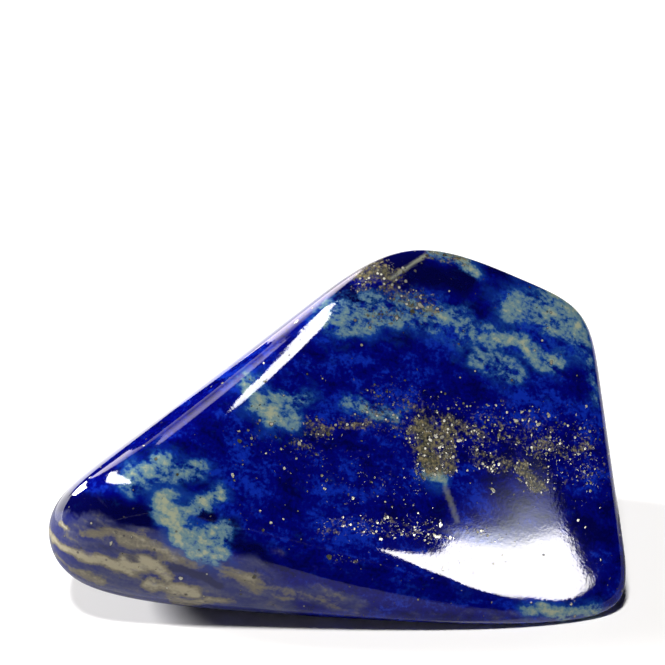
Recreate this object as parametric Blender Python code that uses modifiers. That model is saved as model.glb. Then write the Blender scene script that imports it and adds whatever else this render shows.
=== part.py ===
"""A polished lapis lazuli stone, ground to broad faces and standing on a small flat base.

The stone is one natural piece. Its form is a solid bounded by named faces, each ground flat or
nearly flat, that meet in rounded edges. The rounding grows from the crisp right end to the
pointed left end, as on a tumbled stone.
"""
import math

import bmesh
import bpy
import numpy as np

# Lengths are millimetres in the form and metres in the scene.
MM = 0.001
NAME = "lapis_stone"

# The middle of the footprint in the form's own frame, which becomes the origin.
MIDDLE_X = 0.32
MIDDLE_Y = 10.94

# The broad front face, given by how far back it stands at each place across and up the stone.
FRONT_FOOT = -5.6
FRONT_TURN = 0.315
FRONT_LEAN = 0.59
FRONT_CREST_X = 4.0
FRONT_CREST_Z = 14.0
FRONT_CROWN_ACROSS = 275.0
FRONT_CROWN_UP = 155.0

# Crowned faces: heading and elevation in degrees, a crest point and a crown radius.
BACK = (195.0, 1.0, (6.0, 22.0, 12.0), 110.0)
APRON = (6.7, 5.1, (-3.5, -1.45, 4.5), 375.0)

# Flat faces: heading in degrees (0 looks to -Y, 90 looks to +X), elevation in degrees, distance.
UNDERCUT = (0.0, -38.0, -0.6)
KEEL = (-74.0, -74.0, 3.3)
RIGHT_END = (102.0, 5.5, 25.55)
SHOULDER = (154.0, 45.5, 32.75)
UPPER_SLOPE = (-115.0, 45.0, 22.55)
LOWER_SLOPE = (-119.3, 47.7, 22.05)
LEFT_TIP = (-80.0, 8.0, 25.6)

# Widths of the rounded meetings between neighbouring faces.
PEAK_ROUNDING = 8.7
SHOULDER_ROUNDING = 4.8
TIP_ROUNDING = 4.6
KEEL_ROUNDING = 3.0
SLOPE_HOLLOW = 1.8
BACK_ROUNDING = 6.0

# Roundings that change along the stone: width at the worn left tip, width at the right, power.
CORNER_WEAR = (13.9, 5.6, 1.0)
APRON_WEAR = (5.1, 1.2, 1.0)
UNDERCUT_WEAR = (4.2, 0.9, 1.2)
EDGE_WEAR = (5.0, 2.25, 1.6)
RIDGE_WEAR = (10.0, 2.4, 1.4)
RIDGE_RISE = (3.0, 11.0)
WEAR_RIGHT_X = 24.0
WEAR_LENGTH = 48.0

# The mesh: a ball shaped to the form, evened out in small cells, then drawn onto the surface.
CORE = (4.0, 10.0, 9.0)
BLANK_RADIUS = 10.0
BLANK_SUBDIVISIONS = 6
REACH = 45.0
HALVINGS = 30
CELL = 1.0
DRAW_STEPS = 6
SLOPE_STEP = 0.01
BASE_TOLERANCE = 0.03

LAPIS_COLOUR = (0.010, 0.022, 0.23, 1.0)
LAPIS_ROUGHNESS = 0.12


def facing(heading, elevation):
    """Return the outward direction of a face."""
    turn = math.radians(heading)
    rise = math.radians(elevation)
    level = math.cos(rise)
    return np.array([math.sin(turn) * level, -math.cos(turn) * level, math.sin(rise)])


def flat(points, face):
    """Signed distance outside a flat face."""
    heading, elevation, distance = face
    return points @ facing(heading, elevation) - distance


def crowned(points, face):
    """Signed distance outside a gently domed face."""
    heading, elevation, crest, radius = face
    centre = np.array(crest) - facing(heading, elevation) * radius
    return np.linalg.norm(points - centre, axis=-1) - radius


def meet(first, second, width):
    """Cut by both faces, with a rounded edge where they meet."""
    overlap = np.maximum(width - np.abs(first - second), 0.0) / width
    return np.maximum(first, second) + overlap ** 3 * width / 6.0


def join(first, second, width):
    """Keep what either face keeps, with a soft hollow where they meet."""
    return -meet(-first, -second, width)


def ease(values, low, high):
    """Rise smoothly from 0 at low to 1 at high."""
    share = np.clip((values - low) / (high - low), 0.0, 1.0)
    return share * share * (3.0 - 2.0 * share)


def worn(x, wear):
    """Width of a rounding at each place along the stone."""
    tip_width, right_width, power = wear
    share = np.clip((WEAR_RIGHT_X - x) / WEAR_LENGTH, 0.0, 1.1)
    return right_width + (tip_width - right_width) * share ** power


def front_face(points):
    """The front leans back, turns a little to the right and bulges gently."""
    x, y, z = points[..., 0], points[..., 1], points[..., 2]
    leaning = FRONT_FOOT + FRONT_TURN * x + FRONT_LEAN * z
    across = (x - FRONT_CREST_X) ** 2 / (2.0 * FRONT_CROWN_ACROSS)
    upward = (z - FRONT_CREST_Z) ** 2 / (2.0 * FRONT_CROWN_UP)
    slant = 1.0 / math.sqrt(1.0 + FRONT_TURN ** 2 + FRONT_LEAN ** 2)
    return (leaning + across + upward - y) * slant


def outline_faces(points):
    """The faces around the edge of the stone as seen from the front."""
    x = points[..., 0]
    slope = join(flat(points, UPPER_SLOPE), flat(points, LOWER_SLOPE), SLOPE_HOLLOW)
    rim = meet(slope, flat(points, SHOULDER), PEAK_ROUNDING)
    rim = meet(rim, flat(points, RIGHT_END), SHOULDER_ROUNDING)
    rim = meet(rim, flat(points, LEFT_TIP), TIP_ROUNDING)
    sole = meet(-points[..., 2], flat(points, KEEL), KEEL_ROUNDING)
    return meet(rim, sole, worn(x, CORNER_WEAR))


def edge_width(points):
    """The front's edge is crisp near the base and broad along the ridge of the slope."""
    x, z = points[..., 0], points[..., 2]
    low = worn(x, EDGE_WEAR)
    return low + (worn(x, RIDGE_WEAR) - low) * ease(z, *RIDGE_RISE)


def form(points):
    """Signed value of the whole form, in mm: below zero inside the stone."""
    x = points[..., 0]
    face = meet(front_face(points), crowned(points, APRON), worn(x, APRON_WEAR))
    face = meet(face, flat(points, UNDERCUT), worn(x, UNDERCUT_WEAR))
    face = meet(face, outline_faces(points), edge_width(points))
    return meet(face, crowned(points, BACK), BACK_ROUNDING)


def form_slope(points):
    """Gradient of the form by central differences."""
    slope = np.empty_like(points)
    for axis in range(3):
        step = np.zeros(3)
        step[axis] = SLOPE_STEP
        slope[:, axis] = (form(points + step) - form(points - step)) / (2.0 * SLOPE_STEP)
    return slope


def get_points(mesh):
    """Vertex positions of a mesh, in mm."""
    flat_list = np.empty(len(mesh.vertices) * 3)
    mesh.vertices.foreach_get("co", flat_list)
    return flat_list.reshape(-1, 3) / MM


def set_points(mesh, points):
    """Move the vertices of a mesh to positions in mm."""
    mesh.vertices.foreach_set("co", (points * MM).ravel())
    mesh.update()


def clear_scene():
    for item in list(bpy.data.objects):
        bpy.data.objects.remove(item, do_unlink=True)


def make_blank():
    """A ball pushed out or in, along its own radii, until it lies on the form."""
    bpy.ops.mesh.primitive_ico_sphere_add(subdivisions=BLANK_SUBDIVISIONS, radius=BLANK_RADIUS * MM)
    blank = bpy.context.active_object
    ball = get_points(blank.data)
    rays = ball / np.linalg.norm(ball, axis=1, keepdims=True)
    core = np.array(CORE)
    near = np.zeros(len(rays))
    far = np.full(len(rays), REACH)
    for _ in range(HALVINGS):
        middle = (near + far) / 2.0
        outside = form(core + rays * middle[:, None]) > 0.0
        far = np.where(outside, middle, far)
        near = np.where(outside, near, middle)
    set_points(blank.data, core + rays * near[:, None])
    return blank


def even_out(blank):
    """Remesh the blank into cells of one size and return the new mesh."""
    remesh = blank.modifiers.new("even_cells", "REMESH")
    remesh.mode = "VOXEL"
    remesh.voxel_size = CELL * MM
    seen = blank.evaluated_get(bpy.context.evaluated_depsgraph_get())
    mesh = bpy.data.meshes.new_from_object(seen)
    bpy.data.objects.remove(blank, do_unlink=True)
    return mesh


def draw_onto_form(mesh):
    """Slide each vertex along the form's slope until it lies on the surface."""
    points = get_points(mesh)
    for _ in range(DRAW_STEPS):
        slope = form_slope(points)
        steepness = np.sum(slope * slope, axis=1)
        points = points - slope * (form(points) / steepness)[:, None]
    near_base = np.abs(points[:, 2]) < BASE_TOLERANCE
    points[near_base, 2] = 0.0
    set_points(mesh, points - np.array([MIDDLE_X, MIDDLE_Y, 0.0]))


def flatten_base(mesh):
    """Make one flat face of everything that lies in the base plane."""
    work = bmesh.new()
    work.from_mesh(mesh)
    on_base = [face for face in work.faces if all(corner.co.z == 0.0 for corner in face.verts)]
    bmesh.ops.dissolve_faces(work, faces=on_base, use_verts=True)
    bmesh.ops.recalc_face_normals(work, faces=work.faces)
    work.to_mesh(mesh)
    work.free()


def lapis_material():
    material = bpy.data.materials.new("polished_lapis")
    material.use_nodes = True
    shader = material.node_tree.nodes["Principled BSDF"]
    shader.inputs["Base Color"].default_value = LAPIS_COLOUR
    shader.inputs["Roughness"].default_value = LAPIS_ROUGHNESS
    shader.inputs["Metallic"].default_value = 0.0
    return material


def make_stone():
    mesh = even_out(make_blank())
    mesh.name = NAME
    draw_onto_form(mesh)
    flatten_base(mesh)
    mesh.materials.clear()
    mesh.materials.append(lapis_material())
    mesh.shade_smooth()
    return bpy.data.objects.new(NAME, mesh)


def main():
    clear_scene()
    collection = bpy.data.collections.new("Polished lapis lazuli stone")
    bpy.context.scene.collection.children.link(collection)
    collection.objects.link(make_stone())


main()
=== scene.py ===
"""Looks of a polished lapis lazuli stone: its fine surface, its mineral and a plain studio.

The stone's form is written in millimetres in its own frame, whose origin is moved to the middle
of the footprint. Its markings are strokes laid out across and up the broad front, and they run
back into the stone as real mineral does.
"""
import math

import bpy
import numpy as np
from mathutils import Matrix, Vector, noise


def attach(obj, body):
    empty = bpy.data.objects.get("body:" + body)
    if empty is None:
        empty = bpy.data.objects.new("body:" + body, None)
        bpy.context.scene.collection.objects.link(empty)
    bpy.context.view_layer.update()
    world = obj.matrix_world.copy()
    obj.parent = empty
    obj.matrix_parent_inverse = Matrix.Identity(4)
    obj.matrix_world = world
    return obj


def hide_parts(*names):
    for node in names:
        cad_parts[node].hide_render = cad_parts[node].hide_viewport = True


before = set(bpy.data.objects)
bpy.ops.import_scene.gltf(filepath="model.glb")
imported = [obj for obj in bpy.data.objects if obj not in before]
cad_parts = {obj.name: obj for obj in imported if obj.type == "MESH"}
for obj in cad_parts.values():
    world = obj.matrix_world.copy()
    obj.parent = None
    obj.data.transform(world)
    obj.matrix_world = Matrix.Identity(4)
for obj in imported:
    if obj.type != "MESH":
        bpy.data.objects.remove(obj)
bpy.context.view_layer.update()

MM = 0.001
NODE = "lapis_stone"
BODY = "root"
SURFACE_NAME = "lapis_polished"

# The middle of the footprint in the form's own frame, which becomes the origin.
MIDDLE = np.array([0.32, 10.94, 0.0])

# The broad front face, given by how far back it stands at each place across and up the stone.
FRONT_FOOT = -5.6
FRONT_TURN = 0.315
FRONT_LEAN = 0.59
FRONT_CREST_X = 4.0
FRONT_CREST_Z = 14.0
FRONT_CROWN_ACROSS = 275.0
FRONT_CROWN_UP = 155.0

# Crowned faces: heading and elevation in degrees, a crest point and a crown radius.
BACK = (195.0, 1.0, (6.0, 22.0, 12.0), 110.0)
APRON = (6.7, 5.1, (-3.5, -1.45, 4.5), 375.0)

# Flat faces: heading in degrees (0 looks to -Y, 90 looks to +X), elevation in degrees, distance.
UNDERCUT = (0.0, -38.0, -0.6)
KEEL = (-74.0, -74.0, 3.3)
RIGHT_END = (102.0, 5.5, 25.55)
SHOULDER = (154.0, 45.5, 32.75)
UPPER_SLOPE = (-115.0, 45.0, 22.55)
LOWER_SLOPE = (-119.3, 47.7, 22.05)
LEFT_TIP = (-80.0, 8.0, 25.6)

# Widths of the rounded meetings between neighbouring faces.
PEAK_ROUNDING = 8.7
SHOULDER_ROUNDING = 4.8
TIP_ROUNDING = 4.6
KEEL_ROUNDING = 3.0
SLOPE_HOLLOW = 1.8
BACK_ROUNDING = 6.0

# Roundings that change along the stone: width at the worn left tip, width at the right, power.
CORNER_WEAR = (13.9, 5.6, 1.0)
APRON_WEAR = (5.1, 1.2, 1.0)
UNDERCUT_WEAR = (4.2, 0.9, 1.2)
EDGE_WEAR = (5.0, 2.25, 1.6)
RIDGE_WEAR = (10.0, 2.4, 1.4)
RIDGE_RISE = (3.0, 11.0)
WEAR_RIGHT_X = 24.0
WEAR_LENGTH = 48.0
WEAR_LIMIT = 1.1

# The fine surface: a ball shaped to the form, evened out in small cells and drawn onto it. It
# lies a skin's depth inside the form, and less near the base, so that the stone stays flat there.
CORE = (4.0, 10.0, 9.0)
BLANK_RADIUS = 10.0
BLANK_SUBDIVISIONS = 7
REACH = 45.0
HALVINGS = 30
CELL = 0.27
DRAW_STEPS = 6
SLOPE_STEP = 0.01
BASE_TOLERANCE = 0.03
SKIN = 0.05
SKIN_RISE = (0.0, 0.6)

# Grinding leaves the faces a little uneven: wavelength, depth and a seed for the noise of each
# unevenness, and the heights in mm between which it comes in above the base.
SWELL = (9.0, 0.020, 3.1)
RIPPLE = (2.6, 0.003, 7.7)
UNEVEN_RISE = (0.3, 2.0)

# Directions across, up and out of the broad front, for laying out the markings, and the slant
# of the mineral's layers, which run down to the right.
LAYOUT_TURN = math.radians(5.0)
LAYOUT_RISE = math.radians(28.0)
ACROSS = np.array([math.cos(LAYOUT_TURN), math.sin(LAYOUT_TURN), 0.0])
OUTWARD = np.array([math.sin(LAYOUT_TURN) * math.cos(LAYOUT_RISE),
                    -math.cos(LAYOUT_TURN) * math.cos(LAYOUT_RISE),
                    math.sin(LAYOUT_RISE)])
UPWARD = np.cross(OUTWARD, ACROSS)
LAYER_SLANT = math.radians(25.0)
LAYER_ALONG = math.cos(LAYER_SLANT) * ACROSS - math.sin(LAYER_SLANT) * UPWARD
LAYER_ASIDE = math.sin(LAYER_SLANT) * ACROSS + math.cos(LAYER_SLANT) * UPWARD

# The mineral's colours.
INK = (0.0007, 0.0008, 0.034, 1.0)
NAVY = (0.0006, 0.0007, 0.046, 1.0)
ROYAL = (0.0006, 0.0012, 0.122, 1.0)
BRIGHT = (0.0030, 0.0170, 0.280, 1.0)
AZURE = (0.005, 0.034, 0.220, 1.0)
CYAN = (0.012, 0.070, 0.230, 1.0)
SEA_GREY = (0.110, 0.190, 0.220, 1.0)
CREAM = (0.280, 0.305, 0.210, 1.0)
SLATE = (0.014, 0.015, 0.050, 1.0)
VIOLET = (0.016, 0.020, 0.105, 1.0)
VIOLET_GREY = (0.050, 0.053, 0.105, 1.0)
BROWN_GREY = (0.112, 0.100, 0.078, 1.0)
SAND = (0.260, 0.235, 0.160, 1.0)
SOOT = (0.012, 0.012, 0.012, 1.0)
LICHEN = (0.210, 0.220, 0.165, 1.0)
OLIVE = (0.066, 0.062, 0.038, 1.0)
GOLD = (0.185, 0.150, 0.078, 1.0)
PALE_GOLD = (0.500, 0.480, 0.390, 1.0)

# Where one colour gives way to the next: the values at which it starts and is whole, and then
# any shares of it at those two that aren't 0 and 1.
ROYAL_EDGE = (-0.45, 0.05)
BRIGHT_EDGE = (0.02, 0.44)
# The near-black, partly painted shade.
DARK_AND_PAINTED_SHADE_EDGE = (0.15, 0.85)
AZURE_EDGE = (0.15, 0.95, 0.0, 0.65)
CYAN_EDGE = (0.05, 0.62, 0.0, 0.9)
SEA_GREY_EDGE = (0.30, 0.76)
CREAM_EDGE = (0.70, 1.20)
VIOLET_GREY_EDGE = (-0.25, 0.35)
BROWN_GREY_EDGE = (0.15, 0.55)
SAND_EDGE = (0.50, 1.05)
SLATE_EDGE = (0.30, 0.80, 0.0, 0.85)
MARBLE_EDGE = (0.20, 0.75)
OLIVE_EDGE = (0.36, 0.50)
GOLD_EDGE = (0.50, 0.68)
STAIN_EDGE = (0.34, 0.95)
PALE_GOLD_EDGE = (0.15, 0.95)

# Kinds of noise in the mineral: size in mm, detail, roughness and, for noise that is drawn out
# along the layers, how much.
BEND_NOISE = (1.5, 4.0, 0.55)
FINE_NOISE = (0.28, 2.0, 0.55)
BROAD_NOISE = (6.0, 3.0, 0.55)
MOTTLE_NOISE = (1.3, 5.0, 0.66, 1.6)
WISP_NOISE = (0.95, 6.0, 0.62, 2.0)
SPECKLE_NOISE = (0.50, 3.0, 0.62, 1.3)
STREAK_NOISE = (0.8, 3.0, 0.55, 5.0)
PATCH_NOISE = (2.2, 4.0, 0.60, 1.8)
OCHRE_NOISE = (0.34, 3.0, 0.60)

# How far in mm the noise bends each place.
BEND_REACH = 1.2

# How far the noises sway each mineral, in the order in which its function lists them, and the
# strokes' cover at which clouds and pyrite start to sway and sway most.
BLUE_SWAY = (1.6, 1.9, 0.9)
# Sway of the near-black, partly painted shade.
DARK_AND_PAINTED_SHADE_SWAY = 1.3
VEIL_SWAY = 1.6
CLOUD_SWAY = (2.1, 1.5, 0.6)
CLOUD_SWAY_RISE = (0.0, 0.45, 0.25, 1.0)
GRIT_SWAY = (1.3, 0.9, 0.5)
SLATE_SWAY = (-1.2, 0.4)
MARBLE_SWAY = (1.3, 0.6)
PYRITE_SWAY = 1.3
PYRITE_SWAY_RISE = (0.0, 0.4)
STAIN_SWAY = 1.6

# The blue is brighter around calcite, and the near-black and painted shade take the azure veil
# away.
HALO_LIFT = 0.16
DARK_AND_PAINTED_SHADE_LOSS = -0.9

# Pyrite grains lie in cells of these sizes in mm. The share of cells that has one goes from thin
# to dense pyrite, and large grains are fewer by a share of their own.
LARGE_CELL = 0.46
MEDIUM_CELL = 0.30
SMALL_CELL = 0.17
GRAIN_DENSITY = (0.02, 0.60, 0.014, 0.60)
LARGE_SHARE = 0.70

# The smallest and the largest radius of a grain, the soft edges of a grain and of its dark rim,
# all as shares of its cell, and how dark the rim is.
GRAIN_RADIUS = (0.16, 0.46)
GRAIN_EDGE = (0.0, 0.12)
RIM_EDGE = (-0.22, 0.0)
RIM_DARKNESS = 0.55

# The polish, which is a little softer on calcite and pyrite.
IOR = 1.50
SPECULAR = 0.5
GRAIN_METALLIC = 0.45
POLISH_EDGE = (0.4, 1.1, 0.030, 0.075)
GRAIN_ROUGHNESS = 0.20
STAIN_ROUGHNESS = 0.08

# Relief in the polish: the share that each thing has in it, its strength and its depth in mm.
GRAIN_RELIEF = 0.7
WISP_RELIEF = 0.4
FINE_RELIEF = 0.35
RELIEF_STRENGTH = 0.18
RELIEF_DEPTH = 0.02

# From this depth behind the front, markings drift by this much for each mm that they run back.
FRONT_DEPTH = 2.0
DRIFT_ACROSS = 0.7
DRIFT_UPWARD = -0.5

# How far the outlines of the strokes wander: wavelength and reach in mm, and seeds for the noise.
WANDER = [(4.0, 0.6), (1.4, 0.45)]
WANDER_SEEDS = (11.3, 23.9)

# Strokes of mineral on the front: points (across, up) in mm, half width in mm, strength. Pale
# calcite clouds come first.
CALCITE = [
    ([(15.6, 26.9), (18.0, 26.2), (20.6, 24.8)], 1.3, 0.62),
    ([(18.6, 28.0), (20.8, 25.4)], 0.8, 0.82),
    ([(9.5, 25.6), (13.0, 24.4), (16.6, 23.0), (18.8, 22.3)], 0.7, 0.50),
    ([(11.6, 24.6), (14.2, 23.9), (16.8, 22.7)], 0.36, 0.90),
    ([(0.4, 25.8), (3.6, 26.8), (6.8, 26.3), (10.4, 25.4)], 1.2, 0.52),
    ([(3.2, 25.6), (5.6, 25.4)], 0.6, 0.72),
    ([(12.0, 23.0), (15.4, 21.0)], 0.6, 0.50),
    ([(-6.6, 20.2), (-5.2, 18.8), (-3.4, 17.8)], 0.9, 0.62),
    ([(-6.0, 18.9), (-4.7, 18.0)], 0.7, 1.00),
    ([(-4.0, 19.8), (-2.2, 19.4)], 0.6, 0.45),
    ([(1.8, 18.9), (3.6, 18.3), (5.6, 18.0)], 0.5, 0.50),
    ([(-15.8, 12.9), (-14.0, 13.5), (-13.4, 14.2)], 0.8, 0.70),
    ([(-12.6, 13.2), (-10.8, 13.8)], 0.7, 0.55),
    ([(-13.4, 10.9), (-12.6, 9.8), (-11.6, 8.6)], 0.9, 1.15),
    ([(-11.4, 10.2), (-9.8, 11.2), (-9.2, 11.6)], 0.5, 0.72),
    ([(-11.8, 9.0), (-10.8, 8.2), (-9.4, 8.4), (-8.6, 8.9)], 0.7, 0.82),
    ([(-11.0, 7.6), (-9.0, 7.0)], 0.8, 0.66),
    ([(16.4, 1.7), (22.0, 1.5)], 0.45, 0.72),
    ([(8.0, 13.2), (8.8, 12.4)], 0.50, 0.95),
    ([(21.2, 24.0), (22.2, 19.0)], 0.40, 0.34),
    ([(8.6, 31.2), (9.8, 31.0)], 0.5, 0.72),
    ([(10.8, 30.6), (12.0, 29.8)], 0.5, 0.80),
]

# The banded mass that runs from the tip along the foot, and the sand and slate streaks in it.
MARBLE = [
    ([(-24.2, 8.4), (-20.4, 8.2), (-15.6, 7.2), (-11.0, 6.0), (-7.2, 4.6)], 1.7, 1.00),
    ([(-22.6, 5.6), (-17.0, 4.4), (-10.4, 3.2), (-4.6, 2.6)], 1.6, 1.00),
    ([(-12.6, 7.2), (-9.6, 6.2)], 1.2, 0.90),
    ([(-6.6, 4.6), (-2.4, 3.4), (2.0, 2.3)], 0.9, 0.62),
    ([(3.0, 1.8), (10.5, 1.2), (16.4, 1.4)], 0.4, 0.34),
]
SAND_STREAKS = [
    ([(-24.0, 8.6), (-22.0, 7.1), (-19.8, 6.2), (-16.6, 5.4)], 0.36, 1.00),
    ([(-16.2, 5.9), (-14.4, 5.5), (-13.2, 5.0)], 0.62, 1.00),
    ([(-15.4, 4.4), (-12.9, 4.0), (-10.8, 3.6)], 0.36, 0.95),
    ([(-16.6, 8.0), (-14.2, 7.2), (-12.0, 6.7), (-10.4, 6.3)], 0.60, 0.70),
    ([(-21.6, 8.9), (-21.2, 8.6)], 0.24, 0.90),
    ([(-11.4, 7.9), (-10.4, 6.6)], 0.60, 0.75),
    ([(-9.4, 5.9), (-7.6, 5.0), (-5.8, 4.2)], 0.60, 0.50),
    ([(-23.4, 6.4), (-21.4, 5.2), (-18.4, 4.4)], 0.30, 0.55),
    ([(-19.8, 8.3), (-17.2, 8.5), (-15.0, 8.4)], 0.40, 0.50),
    ([(-6.4, 4.3), (-3.4, 3.4), (0.4, 2.5)], 0.45, 0.30),
    ([(-13.0, 3.0), (-8.0, 2.6)], 0.35, 0.50),
]
SLATE_STREAKS = [
    ([(-20.4, 7.2), (-17.2, 6.9), (-14.4, 6.3)], 0.50, 0.55),
    ([(-12.6, 5.9), (-10.8, 5.0), (-9.0, 4.2)], 0.36, 0.95),
    ([(-19.0, 9.2), (-16.6, 9.0)], 0.50, 0.60),
    ([(-14.6, 6.2), (-12.4, 5.6)], 0.25, 0.70),
]

# Where golden pyrite gathers, and two thin veins.
PYRITE = [
    ([(2.2, 29.4), (3.4, 30.0), (5.2, 29.0)], 0.9, 0.80),
    ([(8.2, 31.0), (11.0, 30.6)], 0.45, 0.55),
    ([(5.4, 27.6), (7.9, 26.6)], 0.9, 0.55),
    ([(3.2, 26.2), (5.2, 26.0)], 0.7, 0.45),
    ([(7.9, 16.9), (7.9, 13.8)], 0.9, 0.95),
    ([(9.5, 16.8), (9.3, 13.9)], 0.8, 0.90),
    ([(4.2, 18.2), (12.0, 16.9), (20.8, 15.3)], 1.7, 0.36),
    ([(10.0, 17.6), (12.4, 16.2)], 0.7, 0.60),
    ([(12.6, 16.0), (20.6, 15.2)], 0.8, 0.45),
    ([(12.0, 14.6), (14.6, 13.6)], 0.7, 0.55),
    ([(15.7, 13.6), (16.5, 12.3), (17.4, 11.6)], 0.5, 0.80),
    ([(15.5, 14.6), (22.0, 13.0)], 1.8, 0.30),
    ([(-0.2, 8.8), (4.5, 9.2), (9.3, 8.2)], 0.8, 0.36),
    ([(11.4, 8.6), (13.8, 7.9)], 0.4, 0.40),
    ([(-1.6, 17.4), (-0.2, 16.7)], 0.5, 0.62),
    ([(1.2, 17.3), (2.8, 17.1)], 0.5, 0.62),
    ([(-2.6, 15.9), (-1.4, 15.0)], 0.5, 0.50),
    ([(0.2, 6.3), (1.8, 5.9)], 0.25, 0.40),
    ([(-5.8, 16.0), (6.0, 11.5)], 2.0, 0.16),
]
VEINS = [
    ([(5.0, 29.1), (7.8, 31.0)], 0.12, 0.90),
    ([(9.4, 12.0), (9.9, 10.7), (10.4, 9.2)], 0.18, 0.45),
]

# Where the blue is nearly black: partly the mineral's own near-black, and partly painted shade for
# the dark that the polish mirrors at the tip and low along the front.
DARK_AND_PAINTED_SHADE = [
    ([(4.6, 30.5), (7.4, 30.4)], 0.8, 0.85),
    ([(7.2, 29.2), (11.0, 28.8)], 1.1, 0.80),
    ([(0.6, 27.6), (3.0, 27.8)], 0.8, 0.80),
    ([(-22.8, 11.0), (-18.0, 10.6), (-15.2, 9.8)], 1.0, 0.95),
    ([(-16.4, 9.4), (-14.6, 9.0)], 0.8, 0.80),
    ([(-10.0, 10.1), (-9.5, 9.9)], 0.38, 1.00),
    ([(-8.2, 9.4), (-7.4, 7.6), (-5.2, 5.8)], 0.8, 0.70),
    ([(-7.0, 7.6), (-2.0, 5.8), (4.0, 4.2), (12.0, 3.0)], 1.0, 0.36),
]

# What the mesh keeps of each marking: its strokes, and how many half widths from a stroke's
# middle line it is still whole and then gone. The veins alone don't wander.
MARKINGS = {
    "calcite": (CALCITE, 0.2, 2.1),
    "halo": (CALCITE, 0.5, 4.0),
    "marble": (MARBLE, 0.3, 1.8),
    "sand": (SAND_STREAKS, 0.3, 1.8),
    "slate": (SLATE_STREAKS, 0.3, 1.8),
    "pyrite": (PYRITE, 0.2, 2.2),
    # Partly the mineral's near-black, partly painted shade.
    "dark_and_painted_shade": (DARK_AND_PAINTED_SHADE, 0.3, 1.8),
}
VEIN_MARKING = (VEINS, 0.4, 1.6)

# Plain colours, a paper floor with its size in metres, and a trace of light from all around.
WHITE = (1.0, 1.0, 1.0, 1.0)
BLACK = (0.0, 0.0, 0.0, 1.0)
FLOOR_TINT = (0.90, 0.885, 0.87, 1.0)
FLOOR_SIZE = 3.0
FLOOR_ROUGHNESS = 0.8
AIR_TINT = (0.75, 0.78, 0.85, 1.0)
AIR_STRENGTH = 0.004

# Lamps around a centre in the stone: heading and elevation in degrees, distance and size in
# metres, and power. They light the stone and the floor, and the polish doesn't mirror them.
LAMP_CENTRE = (0.0, 0.0, 0.012)
OVERHEAD_PLACE = (-20.0, 72.0, 1.5)
OVERHEAD_SIZE = 0.20
OVERHEAD_POWER = 25.0
SIDE_PLACE = (-97.0, 21.0, 1.2)
SIDE_SIZE = 0.30
SIDE_POWER = 30.0

# Bright cards that only the polish mirrors, at one distance in metres from the same centre. A
# panel's corners are (heading, elevation), and a band's stations are (heading, elevation, half
# width, share of glow), with angles in degrees. The window fades out between two elevations.
SHEET_DISTANCE = 0.9
WINDOW = [(22, 6.5), (23, 5), (25, 3), (27, 1), (29, 2), (32, 5), (38, 9), (42, 12.5),
          (41.5, 14.1), (41.2, 16.3), (40.7, 18.6), (37, 18.8), (34.5, 17.8), (32, 16),
          (30, 13.2), (27, 10)]
WINDOW_FADE = (16.4, 18.2)
WINDOW_TINT = (1.0, 0.98, 0.97, 1.0)
WINDOW_STRENGTH = 26.0
SKYLIGHT = [(-112, 60, 0.3, 1.0), (-95, 66.5, 1.2, 1.0), (-73, 70.6, 1.5, 1.0),
            (-45, 70, 1.7, 1.0), (-25, 67.8, 1.9, 1.0), (-10, 62.6, 2.4, 1.0),
            (-4, 58.6, 2.6, 1.0), (0, 55, 2.4, 1.0), (2.5, 52, 1.8, 0.8), (4.5, 50, 0.5, 0.5)]
SKYLIGHT_STRENGTH = 26.0
TIP_BAND = [(-112, 30, 0.3, 1.0), (-98, 36, 1.5, 1.0), (-78, 39.5, 2.0, 1.0),
            (-58, 39.5, 2.0, 1.0), (-40, 36, 1.2, 1.0), (-28, 31, 0.2, 1.0)]
TIP_PANEL = [(-140, 0), (-134, 6), (-117, 18), (-120, 9), (-131, 0)]
SIDE_CARD = [(-154, -1, 9, 1.0), (-146, 11, 11, 1.0), (-139, 21, 11, 1.0), (-131, 30, 9, 0.5),
             (-120, 43, 5, 0.12), (-108, 51, 5, 0.6), (-96, 55.5, 6.5, 1.0), (-84, 58, 6, 0.9),
             (-78, 59, 5, 0.4)]
SIDE_CARD_TINT = (1.0, 0.90, 0.95, 1.0)
SIDE_CARD_STRENGTH = 5.0

# The haze around the window's top, a little nearer than it: puffs of (heading, elevation, spread
# in heading, spread in elevation, strength), and the grid of the sheet that they glow on.
HAZE_PUFFS = [(39.2, 17.6, 2.1, 2.6, 7.0), (35.9, 17.9, 1.7, 0.9, 15.0)]
HAZE_TINT = (0.86, 0.92, 1.0, 1.0)
HAZE_DISTANCE = 0.84
HAZE_HEADINGS = (30.5, 41.1)
HAZE_ELEVATIONS = (14.0, 25.0)
HAZE_COLUMNS = 33
HAZE_ROWS = 33

# An upright dark card behind the stone to the left: corners (x, z) in metres.
DARK_CARD_Y = 0.070
DARK_CARD = [(-0.045, 0.0), (-0.045, 0.0285), (-0.0555, 0.046), (-0.0665, 0.068),
             (-0.080, 0.090), (-0.124, 0.090), (-0.101, 0.056), (-0.085, 0.037),
             (-0.080, 0.030), (-0.100, 0.0)]

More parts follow.
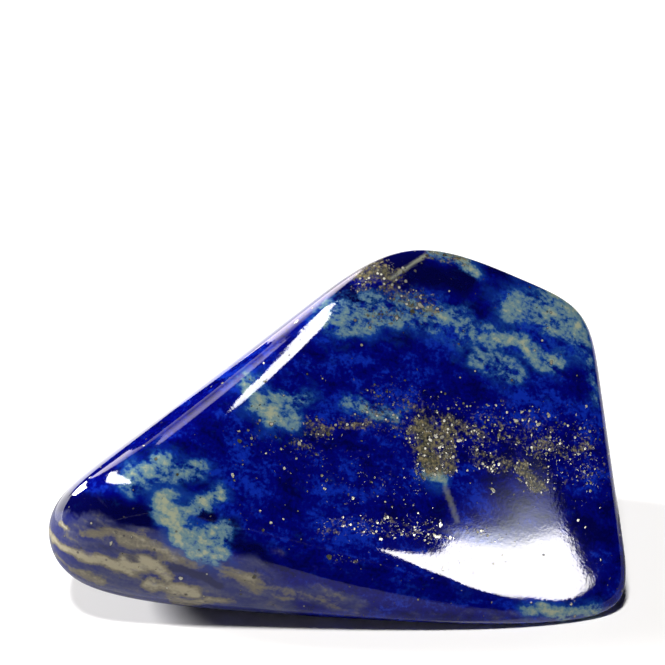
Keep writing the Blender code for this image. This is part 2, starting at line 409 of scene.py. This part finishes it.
# Dark sheets just above the floor, one over the other, that reach out in front of the stone:
# corners (x, y) and height in metres, and the share of what the polish mirrors that each takes.
DARK_FRONT_EDGE = [(-0.500, -0.330), (-0.030, -0.140), (-0.015, -0.082), (-0.007, -0.058),
                   (-0.002, -0.047), (0.002, -0.036), (0.005, -0.029), (0.009, -0.025),
                   (0.014, -0.021), (0.020, -0.017), (0.500, -0.017), (0.500, -0.900),
                   (-0.500, -0.900)]
DARK_FRONT_HEIGHT = 0.0005
DARK_FRONT_SHARE = 1.0
VEIL_EDGE = [(-0.500, -0.240), (-0.026, -0.100), (-0.012, -0.060), (-0.004, -0.044),
             (0.002, -0.036), (0.006, -0.027), (0.009, -0.022), (0.012, -0.018),
             (0.016, -0.015), (0.022, -0.013), (0.500, -0.013), (0.500, -0.900),
             (-0.500, -0.900)]
VEIL_HEIGHT = 0.0008
VEIL_SHARE = 0.5
NEAR_VEIL_EDGE = [(-0.300, 0.010), (0.300, 0.010), (0.300, -0.900), (-0.300, -0.900)]
NEAR_VEIL_HEIGHT = 0.0011
NEAR_VEIL_SHARE = 0.68

# The photographer's place and aim in the form's own frame, the lens, the width of its sensor and
# the nearest distance that it sees, all in mm.
EYE = np.array([11.897, -133.803, 99.355])
AIM = np.array([-0.801, 11.329, 21.892])
LENS = 107.9
SENSOR = 36.0
NEAREST = 5.0


def facing(heading, elevation):
    """Return the outward direction of a face."""
    turn = math.radians(heading)
    rise = math.radians(elevation)
    level = math.cos(rise)
    return np.array([math.sin(turn) * level, -math.cos(turn) * level, math.sin(rise)])


def flat(points, face):
    """Signed distance outside a flat face."""
    heading, elevation, distance = face
    return points @ facing(heading, elevation) - distance


def crowned(points, face):
    """Signed distance outside a gently domed face."""
    heading, elevation, crest, radius = face
    centre = np.array(crest) - facing(heading, elevation) * radius
    return np.linalg.norm(points - centre, axis=-1) - radius


def meet(first, second, width):
    """Cut by both faces, with a rounded edge where they meet."""
    overlap = np.maximum(width - np.abs(first - second), 0.0) / width
    return np.maximum(first, second) + overlap ** 3 * width / 6.0


def join(first, second, width):
    """Keep what either face keeps, with a soft hollow where they meet."""
    return -meet(-first, -second, width)


def ease(values, low, high):
    """Rise smoothly from 0 at low to 1 at high."""
    share = np.clip((values - low) / (high - low), 0.0, 1.0)
    return share * share * (3.0 - 2.0 * share)


def worn(x, wear):
    """Width of a rounding at each place along the stone."""
    tip_width, right_width, power = wear
    share = np.clip((WEAR_RIGHT_X - x) / WEAR_LENGTH, 0.0, WEAR_LIMIT)
    return right_width + (tip_width - right_width) * share ** power


def front_face(points):
    """The front leans back, turns a little to the right and bulges gently."""
    x, y, z = points[..., 0], points[..., 1], points[..., 2]
    leaning = FRONT_FOOT + FRONT_TURN * x + FRONT_LEAN * z
    across = (x - FRONT_CREST_X) ** 2 / (2.0 * FRONT_CROWN_ACROSS)
    upward = (z - FRONT_CREST_Z) ** 2 / (2.0 * FRONT_CROWN_UP)
    slant = 1.0 / math.sqrt(1.0 + FRONT_TURN ** 2 + FRONT_LEAN ** 2)
    return (leaning + across + upward - y) * slant


def outline_faces(points):
    """The faces around the edge of the stone as seen from the front."""
    x = points[..., 0]
    slope = join(flat(points, UPPER_SLOPE), flat(points, LOWER_SLOPE), SLOPE_HOLLOW)
    rim = meet(slope, flat(points, SHOULDER), PEAK_ROUNDING)
    rim = meet(rim, flat(points, RIGHT_END), SHOULDER_ROUNDING)
    rim = meet(rim, flat(points, LEFT_TIP), TIP_ROUNDING)
    sole = meet(-points[..., 2], flat(points, KEEL), KEEL_ROUNDING)
    return meet(rim, sole, worn(x, CORNER_WEAR))


def edge_width(points):
    """The front's edge is crisp near the base and broad along the ridge of the slope."""
    x, z = points[..., 0], points[..., 2]
    low = worn(x, EDGE_WEAR)
    return low + (worn(x, RIDGE_WEAR) - low) * ease(z, *RIDGE_RISE)


def form(points):
    """Signed value of the whole form, in mm: below zero inside the stone."""
    x = points[..., 0]
    face = meet(front_face(points), crowned(points, APRON), worn(x, APRON_WEAR))
    face = meet(face, flat(points, UNDERCUT), worn(x, UNDERCUT_WEAR))
    face = meet(face, outline_faces(points), edge_width(points))
    return meet(face, crowned(points, BACK), BACK_ROUNDING)


def form_slope(points):
    """Gradient of the form by central differences."""
    slope = np.empty_like(points)
    for axis in range(3):
        step = np.zeros(3)
        step[axis] = SLOPE_STEP
        slope[:, axis] = (form(points + step) - form(points - step)) / (2.0 * SLOPE_STEP)
    return slope


def swell(points, length, seed):
    """Smooth noise from -1 to 1 at each point, with bumps about one length apart."""
    shift = Vector((seed, -seed, 2.0 * seed))
    return np.array([noise.noise(Vector(point) / length + shift) for point in points])


def get_points(mesh):
    """Vertex positions of a mesh, in mm."""
    flat_list = np.empty(len(mesh.vertices) * 3)
    mesh.vertices.foreach_get("co", flat_list)
    return flat_list.reshape(-1, 3) / MM


def set_points(mesh, points):
    """Move the vertices of a mesh to positions in mm."""
    mesh.vertices.foreach_set("co", (points * MM).ravel())
    mesh.update()


def make_blank():
    """A ball pushed out or in, along its own radii, until it lies on the form."""
    bpy.ops.mesh.primitive_ico_sphere_add(subdivisions=BLANK_SUBDIVISIONS, radius=BLANK_RADIUS * MM)
    blank = bpy.context.active_object
    ball = get_points(blank.data)
    rays = ball / np.linalg.norm(ball, axis=1, keepdims=True)
    core = np.array(CORE)
    near = np.zeros(len(rays))
    far = np.full(len(rays), REACH)
    for _ in range(HALVINGS):
        middle = (near + far) / 2.0
        outside = form(core + rays * middle[:, None]) > 0.0
        far = np.where(outside, middle, far)
        near = np.where(outside, near, middle)
    set_points(blank.data, core + rays * near[:, None])
    return blank


def even_out(blank):
    """Remesh the blank into cells of one size and return the new mesh."""
    remesh = blank.modifiers.new("even_cells", "REMESH")
    remesh.mode = "VOXEL"
    remesh.voxel_size = CELL * MM
    seen = blank.evaluated_get(bpy.context.evaluated_depsgraph_get())
    mesh = bpy.data.meshes.new_from_object(seen)
    bpy.data.objects.remove(blank, do_unlink=True)
    return mesh


def draw_onto_form(mesh):
    """Slide each vertex onto the form, a little inside it, and leave the base flat."""
    points = get_points(mesh)
    unevenness = np.zeros(len(points))
    for length, depth, seed in (SWELL, RIPPLE):
        unevenness += depth * swell(points, length, seed)
    unevenness *= ease(points[:, 2], *UNEVEN_RISE)
    level = unevenness - SKIN * ease(points[:, 2], *SKIN_RISE)
    for _ in range(DRAW_STEPS):
        slope = form_slope(points)
        steepness = np.sum(slope * slope, axis=1)
        points = points - slope * ((form(points) - level) / steepness)[:, None]
    near_base = np.abs(points[:, 2]) < BASE_TOLERANCE
    points[near_base, 2] = 0.0
    points[:, 2] = np.maximum(points[:, 2], 0.0)
    return points


def stroke_cover(places, strokes, core, reach):
    """How strongly each place is covered by any of the strokes.

    A stroke is whole out to core half widths from its middle line and gone at reach.
    """
    cover = np.zeros(len(places))
    for corners, half_width, strength in strokes:
        line = np.array(corners)
        nearest = np.full(len(places), np.inf)
        for start, end in zip(line[:-1], line[1:]):
            run = end - start
            along = np.clip((places - start) @ run / (run @ run), 0.0, 1.0)
            apart = places - start - along[:, None] * run
            nearest = np.minimum(nearest, np.linalg.norm(apart, axis=1))
        fade = 1.0 - ease(nearest, half_width * core, half_width * reach)
        cover = np.maximum(cover, fade * strength)
    return cover


def store(mesh, name, values):
    """Keep one number for each vertex, for the material to read."""
    layer = mesh.attributes.new(name, "FLOAT", "POINT")
    layer.data.foreach_set("value", values.astype(np.float32))


def lay_out_markings(mesh, points):
    """Work out where each mineral and the painted shade lie. Behind the front the strokes drift as
    they run back.
    """
    depth = np.maximum(-points @ OUTWARD - FRONT_DEPTH, 0.0)
    across = points @ ACROSS + DRIFT_ACROSS * depth
    upward = points @ UPWARD + DRIFT_UPWARD * depth
    straight = np.stack([across, upward], axis=1)
    across_seed, upward_seed = WANDER_SEEDS
    for length, reach in WANDER:
        across = across + reach * swell(points, length, across_seed)
        upward = upward + reach * swell(points, length, upward_seed)
    places = np.stack([across, upward], axis=1)
    for name, marking in MARKINGS.items():
        store(mesh, name, stroke_cover(places, *marking))
    store(mesh, "vein", stroke_cover(straight, *VEIN_MARKING))


def add(tree, kind, inputs=None, **settings):
    """Add a shader node, with its settings, and with values or links on its inputs."""
    node = tree.nodes.new(kind)
    for name, value in settings.items():
        setattr(node, name, value)
    for key, value in (inputs or {}).items():
        socket = node.inputs[key]
        if isinstance(value, bpy.types.NodeSocket):
            tree.links.new(value, socket)
        else:
            socket.default_value = value
    return node


def calc(tree, operation, first, second=0.0):
    """One step of arithmetic on numbers or links."""
    return add(tree, "ShaderNodeMath", {0: first, 1: second}, operation=operation).outputs[0]


def times(tree, first, second):
    """Product of two values."""
    return calc(tree, "MULTIPLY", first, second)


def most(tree, first, second):
    """The larger of two values."""
    return calc(tree, "MAXIMUM", first, second)


def total(tree, *values):
    """Sum of several values."""
    result = values[0]
    for value in values[1:]:
        result = calc(tree, "ADD", result, value)
    return result


def rise(tree, value, low, high, bottom=0.0, top=1.0):
    """Smooth step from bottom to top as the value goes from low to high."""
    inputs = {"Value": value, "From Min": low, "From Max": high, "To Min": bottom, "To Max": top}
    return add(tree, "ShaderNodeMapRange", inputs, interpolation_type="SMOOTHSTEP").outputs[0]


def blend(tree, share, first, second):
    """Mix two colours."""
    node = add(tree, "ShaderNodeMix", {0: share, 6: first, 7: second}, data_type="RGBA")
    return node.outputs[2]


def paint(tree, ground, tint, value, edge):
    """Cover the ground with a colour as the value goes through the colour's edge."""
    return blend(tree, rise(tree, value, *edge), ground, tint)


def dot(tree, vector, direction):
    """How far a vector reaches along a direction."""
    inputs = {0: vector, 1: tuple(direction)}
    return add(tree, "ShaderNodeVectorMath", inputs, operation="DOT_PRODUCT").outputs["Value"]


def noise_node(tree, place, size, detail, roughness):
    """Noise from about 0.2 to 0.8, with features of that size in mm."""
    inputs = {"Vector": place, "Scale": 1.0 / size, "Detail": detail, "Roughness": roughness}
    return add(tree, "ShaderNodeTexNoise", inputs)


def cloud(tree, place, kind):
    """Noise of a kind, as one value."""
    return noise_node(tree, place, *kind).outputs[0]


def drawn_cloud(tree, place, kind):
    """Noise of a kind that is drawn out along the mineral's layers, as one value."""
    *even_kind, stretch = kind
    along = calc(tree, "DIVIDE", dot(tree, place, LAYER_ALONG), stretch)
    inputs = {0: along, 1: dot(tree, place, LAYER_ASIDE), 2: dot(tree, place, OUTWARD)}
    drawn = add(tree, "ShaderNodeCombineXYZ", inputs).outputs[0]
    return cloud(tree, drawn, even_kind)


def swing(tree, value, reach):
    """Turn noise around 0.5 into a swing around 0."""
    return times(tree, calc(tree, "SUBTRACT", value, 0.5), reach)


def sway(tree, values, reaches):
    """Sum of several noises, each as a swing of its own reach."""
    return total(tree, *(swing(tree, value, reach) for value, reach in zip(values, reaches)))


def mark(tree, name):
    """A marking laid out on the mesh."""
    return add(tree, "ShaderNodeAttribute", attribute_name=name).outputs["Fac"]


def grains(tree, place, size, share):
    """Small grains in cells of that size in mm; share is the part of the cells that has one.

    Returns the grain's cover, a slightly wider cover for its dark rim, and a lot for its tone.
    """
    cells = add(tree, "ShaderNodeTexVoronoi", {"Vector": place, "Scale": 1.0 / size})
    lot = add(tree, "ShaderNodeSeparateColor", {0: cells.outputs["Color"]})
    chosen = calc(tree, "LESS_THAN", lot.outputs[0], share)
    radius = rise(tree, lot.outputs[1], 0.0, 1.0, *GRAIN_RADIUS)
    inside = calc(tree, "SUBTRACT", radius, cells.outputs["Distance"])
    cover = times(tree, rise(tree, inside, *GRAIN_EDGE), chosen)
    rim = times(tree, rise(tree, inside, *RIM_EDGE), chosen)
    return cover, rim, lot.outputs[2]


def bend_places(tree, place):
    """The same places bent a little, so that no mark has a drawn outline."""
    bend = noise_node(tree, place, *BEND_NOISE).outputs["Color"]
    inputs = {0: bend, 1: (0.5, 0.5, 0.5)}
    centred = add(tree, "ShaderNodeVectorMath", inputs, operation="SUBTRACT").outputs[0]
    inputs = {0: centred, "Scale": BEND_REACH}
    push = add(tree, "ShaderNodeVectorMath", inputs, operation="SCALE").outputs[0]
    return add(tree, "ShaderNodeVectorMath", {0: place, 1: push}).outputs[0]


def blue_ground(tree, bent, fine):
    """Blue lazurite, mottled at several scales, brighter by calcite, and near black both where the
    mineral is dark and where shade is painted in.
    """
    broad = cloud(tree, bent, BROAD_NOISE)
    mottle = drawn_cloud(tree, bent, MOTTLE_NOISE)
    lift = times(tree, mark(tree, "halo"), HALO_LIFT)
    depth = total(tree, sway(tree, (broad, mottle, fine), BLUE_SWAY), lift)
    blue = paint(tree, NAVY, ROYAL, depth, ROYAL_EDGE)
    blue = paint(tree, blue, BRIGHT, depth, BRIGHT_EDGE)
    # Near-black: partly the mineral's own, partly painted shade for the dark that the polish
    # mirrors.
    dark_and_painted_shade = total(tree, mark(tree, "dark_and_painted_shade"), swing(tree, mottle, DARK_AND_PAINTED_SHADE_SWAY))
    return paint(tree, blue, INK, dark_and_painted_shade, DARK_AND_PAINTED_SHADE_EDGE)


def streaked_marble(tree, ground, bent, fine):
    """The banded mass at the lower left: violet, with streaks of sand, brown grey and slate."""
    streaks = drawn_cloud(tree, bent, STREAK_NOISE)
    patches = drawn_cloud(tree, bent, PATCH_NOISE)
    grit = sway(tree, (streaks, patches, fine), GRIT_SWAY)
    bands = paint(tree, VIOLET, VIOLET_GREY, grit, VIOLET_GREY_EDGE)
    sand = total(tree, mark(tree, "sand"), grit)
    bands = paint(tree, bands, BROWN_GREY, sand, BROWN_GREY_EDGE)
    bands = paint(tree, bands, SAND, sand, SAND_EDGE)
    slate = total(tree, mark(tree, "slate"), sway(tree, (streaks, fine), SLATE_SWAY))
    bands = paint(tree, bands, SLATE, slate, SLATE_EDGE)
    marble = total(tree, mark(tree, "marble"), sway(tree, (patches, streaks), MARBLE_SWAY))
    return paint(tree, ground, bands, marble, MARBLE_EDGE)


def calcite_milk(tree, place, wisps, fine):
    """How milky the stone is at each place: its calcite strokes, broken up at several scales."""
    calcite = mark(tree, "calcite")
    speckle = drawn_cloud(tree, place, SPECKLE_NOISE)
    ragged = sway(tree, (wisps, speckle, fine), CLOUD_SWAY)
    return total(tree, calcite, times(tree, ragged, rise(tree, calcite, *CLOUD_SWAY_RISE)))


def pale_clouds(tree, ground, milk, wisps):
    """Calcite over the blue, from an azure veil and a cyan haze to cream."""
    # The near-black and painted shade take the azure veil away.
    loss = times(tree, mark(tree, "dark_and_painted_shade"), DARK_AND_PAINTED_SHADE_LOSS)
    veil = total(tree, mark(tree, "halo"), swing(tree, wisps, VEIL_SWAY), loss)
    ground = paint(tree, ground, AZURE, veil, AZURE_EDGE)
    ground = paint(tree, ground, CYAN, milk, CYAN_EDGE)
    ground = paint(tree, ground, SEA_GREY, milk, SEA_GREY_EDGE)
    return paint(tree, ground, CREAM, milk, CREAM_EDGE)


def pyrite_stain(tree, ground, gathered, place):
    """An olive and gold stain where pyrite is dense. Returns the colour and the stain's cover."""
    mixed = cloud(tree, place, OCHRE_NOISE)
    ochre = paint(tree, SOOT, OLIVE, mixed, OLIVE_EDGE)
    ochre = paint(tree, ochre, GOLD, mixed, GOLD_EDGE)
    stain = rise(tree, total(tree, gathered, swing(tree, mixed, STAIN_SWAY)), *STAIN_EDGE)
    return blend(tree, stain, ground, ochre), stain


def pyrite_grains(tree, ground, gathered, place, bent):
    """Grains of three sizes over the ground, the larger ones with dark rims, and the veins.

    Returns the colour and the grains' cover.
    """
    dense = rise(tree, gathered, *GRAIN_DENSITY)
    large, large_rim, large_lot = grains(tree, bent, LARGE_CELL, times(tree, dense, LARGE_SHARE))
    medium, medium_rim, medium_lot = grains(tree, place, MEDIUM_CELL, dense)
    small, _, _ = grains(tree, bent, SMALL_CELL, dense)
    metal = most(tree, large, most(tree, medium, small))
    rim = times(tree, most(tree, large_rim, medium_rim), RIM_DARKNESS)
    tone = most(tree, times(tree, large, large_lot), times(tree, medium, medium_lot))
    grain = paint(tree, OLIVE, PALE_GOLD, tone, PALE_GOLD_EDGE)
    ground = blend(tree, rim, ground, INK)
    ground = blend(tree, mark(tree, "vein"), ground, LICHEN)
    return blend(tree, metal, ground, grain), metal


def lapis_material():
    """Polished lapis lazuli, coloured through from the strokes kept on the mesh."""
    material = bpy.data.materials.new("polished_lapis")
    material.use_nodes = True
    tree = material.node_tree
    shader = tree.nodes["Principled BSDF"]

    # Places in mm, plain and bent, and the noise that several minerals share.
    own = add(tree, "ShaderNodeTexCoord").outputs["Object"]
    inputs = {0: own, "Scale": 1.0 / MM}
    place = add(tree, "ShaderNodeVectorMath", inputs, operation="SCALE").outputs[0]
    bent = bend_places(tree, place)
    fine = cloud(tree, place, FINE_NOISE)
    wisps = drawn_cloud(tree, bent, WISP_NOISE)

    milk = calcite_milk(tree, place, wisps, fine)
    ground = blue_ground(tree, bent, fine)
    ground = streaked_marble(tree, ground, bent, fine)
    ground = pale_clouds(tree, ground, milk, wisps)

    pyrite = mark(tree, "pyrite")
    swayed = times(tree, swing(tree, wisps, PYRITE_SWAY), rise(tree, pyrite, *PYRITE_SWAY_RISE))
    gathered = total(tree, pyrite, swayed)
    ground, stain = pyrite_stain(tree, ground, gathered, place)
    surface, metal = pyrite_grains(tree, ground, gathered, place, bent)

    tree.links.new(surface, shader.inputs["Base Color"])
    tree.links.new(times(tree, metal, GRAIN_METALLIC), shader.inputs["Metallic"])
    polish = rise(tree, milk, *POLISH_EDGE)
    rough_grains = times(tree, metal, GRAIN_ROUGHNESS)
    rough_stain = times(tree, stain, STAIN_ROUGHNESS)
    tree.links.new(total(tree, polish, rough_grains, rough_stain), shader.inputs["Roughness"])
    shader.inputs["IOR"].default_value = IOR
    shader.inputs["Specular IOR Level"].default_value = SPECULAR

    # Grains stand or sink a hair, and so does the mottling.
    relief = total(tree, times(tree, metal, GRAIN_RELIEF), times(tree, wisps, WISP_RELIEF),
                   times(tree, fine, FINE_RELIEF))
    inputs = {"Strength": RELIEF_STRENGTH, "Distance": RELIEF_DEPTH * MM, "Height": relief}
    bump = add(tree, "ShaderNodeBump", inputs)
    tree.links.new(bump.outputs[0], shader.inputs["Normal"])
    return material


def make_stone():
    """The polished stone, which takes the place of the plain one."""
    mesh = even_out(make_blank())
    mesh.name = SURFACE_NAME
    points = draw_onto_form(mesh)
    lay_out_markings(mesh, points)
    set_points(mesh, points - MIDDLE)
    mesh.materials.clear()
    mesh.materials.append(lapis_material())
    mesh.shade_smooth()
    stone = bpy.data.objects.new(SURFACE_NAME, mesh)
    bpy.context.scene.collection.objects.link(stone)
    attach(stone, BODY)
    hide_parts(NODE)


def floor_material():
    """Pale matt paper."""
    material = bpy.data.materials.new("floor_paper")
    material.use_nodes = True
    shader = material.node_tree.nodes["Principled BSDF"]
    shader.inputs["Base Color"].default_value = FLOOR_TINT
    shader.inputs["Roughness"].default_value = FLOOR_ROUGHNESS
    shader.inputs["Specular IOR Level"].default_value = 0.0
    return material


def make_floor():
    """A wide pale sheet that the stone stands on."""
    bpy.ops.mesh.primitive_plane_add(size=FLOOR_SIZE, location=(0.0, 0.0, 0.0))
    floor = bpy.context.active_object
    floor.name = "floor"
    floor.data.materials.append(floor_material())


def towards(heading, elevation, distance=SHEET_DISTANCE):
    """A place in metres, seen from the stone at a heading and an elevation in degrees."""
    return Vector(facing(heading, elevation)) * distance + Vector(LAMP_CENTRE)


def place_lamp(name, place, size, power):
    """A square soft box aimed at the stone that lights it without showing in the polish."""
    heading, elevation, _ = place
    lamp = bpy.data.lights.new(name, "AREA")
    lamp.shape = "RECTANGLE"
    lamp.size = size
    lamp.size_y = size
    lamp.energy = power
    holder = bpy.data.objects.new(name, lamp)
    bpy.context.scene.collection.objects.link(holder)
    holder.location = towards(*place)
    holder.rotation_euler = Vector(facing(heading, elevation)).to_track_quat("Z", "Y").to_euler()
    holder.visible_glossy = False


def empty_material(name):
    """A material with no nodes yet. Returns it and its node tree."""
    material = bpy.data.materials.new(name)
    material.use_nodes = True
    material.node_tree.nodes.clear()
    return material, material.node_tree


def finish_material(tree, surface):
    """Give a material its surface."""
    end = add(tree, "ShaderNodeOutputMaterial", {"Surface": surface.outputs[0]})
    end.is_active_output = True


def sheet_height(elevation):
    """Height in metres of a place on a sheet at that elevation in degrees."""
    return LAMP_CENTRE[2] + SHEET_DISTANCE * math.sin(math.radians(elevation))


def glow_material(name, tint, strength, fade=None):
    """Plain light, which may fade out from one elevation up to another."""
    material, tree = empty_material(name)
    if fade:
        own = add(tree, "ShaderNodeTexCoord").outputs["Object"]
        height = add(tree, "ShaderNodeSeparateXYZ", {0: own}).outputs["Z"]
        low, high = (sheet_height(elevation) for elevation in fade)
        strength = times(tree, rise(tree, height, low, high, 1.0, 0.0), strength)
    finish_material(tree, add(tree, "ShaderNodeEmission", {"Color": tint, "Strength": strength}))
    return material


def graded_material(name, tint, strength):
    """Light that follows the glow kept on the sheet, and adds to what lies behind it."""
    material, tree = empty_material(name)
    strength = times(tree, mark(tree, "glow"), strength)
    glow = add(tree, "ShaderNodeEmission", {"Color": tint, "Strength": strength})
    clear = add(tree, "ShaderNodeBsdfTransparent")
    both = add(tree, "ShaderNodeAddShader", {0: glow.outputs[0], 1: clear.outputs[0]})
    finish_material(tree, both)
    return material


def dark_material(name, share):
    """Black that takes away that share of what lies behind it."""
    material, tree = empty_material(name)
    clear = add(tree, "ShaderNodeBsdfTransparent")
    black = add(tree, "ShaderNodeEmission", {"Color": BLACK, "Strength": 0.0})
    mixed = add(tree, "ShaderNodeMixShader", {0: share, 1: clear.outputs[0], 2: black.outputs[0]})
    finish_material(tree, mixed)
    return material


def make_sheet(name, points, material, faces=None):
    """A sheet that only the polish sees: it casts no shadow and lights nothing else.

    It is one face through all of its points unless faces are given.
    """
    mesh = bpy.data.meshes.new(name)
    mesh.from_pydata(points, [], faces or [tuple(range(len(points)))])
    mesh.materials.append(material)
    sheet = bpy.data.objects.new(name, mesh)
    bpy.context.scene.collection.objects.link(sheet)
    sheet.visible_camera = False
    sheet.visible_shadow = False
    sheet.visible_diffuse = False
    return sheet


def make_panel(name, corners, tint, strength, fade=None):
    """A bright panel whose corners are given as heading and elevation."""
    points = [towards(*corner) for corner in corners]
    make_sheet(name, points, glow_material(name, tint, strength, fade))


def make_graded_sheet(name, points, faces, glow, tint, strength):
    """A sheet of light with a share of glow at each point."""
    sheet = make_sheet(name, points, graded_material(name, tint, strength), faces)
    store(sheet.data, "glow", np.array(glow))


def make_band(name, stations, tint, strength):
    """A curved band of light through its stations."""
    centres = [Vector(facing(heading, elevation)) for heading, elevation, _, _ in stations]
    points = []
    glow = []
    for number, (_, _, half_width, share) in enumerate(stations):
        before = centres[max(number - 1, 0)]
        after = centres[min(number + 1, len(centres) - 1)]
        aside = centres[number].cross(after - before).normalized()
        aside *= math.tan(math.radians(half_width))
        for side in (-1.0, 1.0):
            place = (centres[number] + aside * side).normalized()
            points.append(place * SHEET_DISTANCE + Vector(LAMP_CENTRE))
            glow.append(share)
    faces = [(2 * k, 2 * k + 1, 2 * k + 3, 2 * k + 2) for k in range(len(stations) - 1)]
    make_graded_sheet(name, points, faces, glow, tint, strength)


def haze_glow(heading, elevation):
    """Glow of all the haze's puffs at one place."""
    glow = 0.0
    for puff_heading, puff_elevation, wide, high, strength in HAZE_PUFFS:
        across = (heading - puff_heading) / wide
        up = (elevation - puff_elevation) / high
        glow += strength * math.exp(-across * across - up * up)
    return glow


def make_haze(name):
    """A soft glow around the window's top that fades away from its puffs."""
    places = [(heading, elevation)
              for elevation in np.linspace(*HAZE_ELEVATIONS, HAZE_ROWS)
              for heading in np.linspace(*HAZE_HEADINGS, HAZE_COLUMNS)]
    points = [towards(*place, HAZE_DISTANCE) for place in places]
    glow = [haze_glow(*place) for place in places]
    faces = []
    for row in range(HAZE_ROWS - 1):
        for column in range(HAZE_COLUMNS - 1):
            corner = row * HAZE_COLUMNS + column
            faces.append((corner, corner + 1, corner + HAZE_COLUMNS + 1, corner + HAZE_COLUMNS))
    make_graded_sheet(name, points, faces, glow, HAZE_TINT, 1.0)


def lay_on_floor(name, outline, height, share):
    """A dark sheet over the floor that takes away that share of what the polish mirrors."""
    make_sheet(name, [(x, y, height) for x, y in outline], dark_material(name, share))


def light_studio():
    """Two lamps, and the cards that the polish mirrors."""
    place_lamp("overhead", OVERHEAD_PLACE, OVERHEAD_SIZE, OVERHEAD_POWER)
    place_lamp("side", SIDE_PLACE, SIDE_SIZE, SIDE_POWER)
    make_haze("window_haze")
    make_band("tip_band", TIP_BAND, WHITE, SKYLIGHT_STRENGTH)
    make_panel("tip_panel", TIP_PANEL, WHITE, SKYLIGHT_STRENGTH)
    make_panel("window", WINDOW, WINDOW_TINT, WINDOW_STRENGTH, WINDOW_FADE)
    make_band("skylight", SKYLIGHT, WHITE, SKYLIGHT_STRENGTH)
    make_band("side_card", SIDE_CARD, SIDE_CARD_TINT, SIDE_CARD_STRENGTH)
    corners = [(x, DARK_CARD_Y, z) for x, z in DARK_CARD]
    make_sheet("dark_card", corners, glow_material("dark_card", BLACK, 0.0))
    lay_on_floor("dark_front", DARK_FRONT_EDGE, DARK_FRONT_HEIGHT, DARK_FRONT_SHARE)
    lay_on_floor("veil", VEIL_EDGE, VEIL_HEIGHT, VEIL_SHARE)
    lay_on_floor("near_veil", NEAR_VEIL_EDGE, NEAR_VEIL_HEIGHT, NEAR_VEIL_SHARE)


def set_world():
    """A trace of cool light from all around, and plain colours in the picture."""
    world = bpy.data.worlds.new("studio")
    world.use_nodes = True
    background = world.node_tree.nodes["Background"]
    background.inputs["Color"].default_value = AIR_TINT
    background.inputs["Strength"].default_value = AIR_STRENGTH
    bpy.context.scene.world = world
    bpy.context.scene.view_settings.view_transform = "Standard"


def set_camera():
    """The photographer's camera, a little above the stone and in front of it."""
    data = bpy.data.cameras.new("photographer")
    data.lens = LENS
    data.sensor_width = SENSOR
    data.clip_start = NEAREST * MM
    camera = bpy.data.objects.new("photographer", data)
    bpy.context.scene.collection.objects.link(camera)
    eye = Vector(EYE - MIDDLE) * MM
    line = eye - Vector(AIM - MIDDLE) * MM
    camera.location = eye
    camera.rotation_euler = line.to_track_quat("Z", "Y").to_euler()
    bpy.context.scene.camera = camera


make_stone()
make_floor()
light_studio()
set_world()
set_camera()
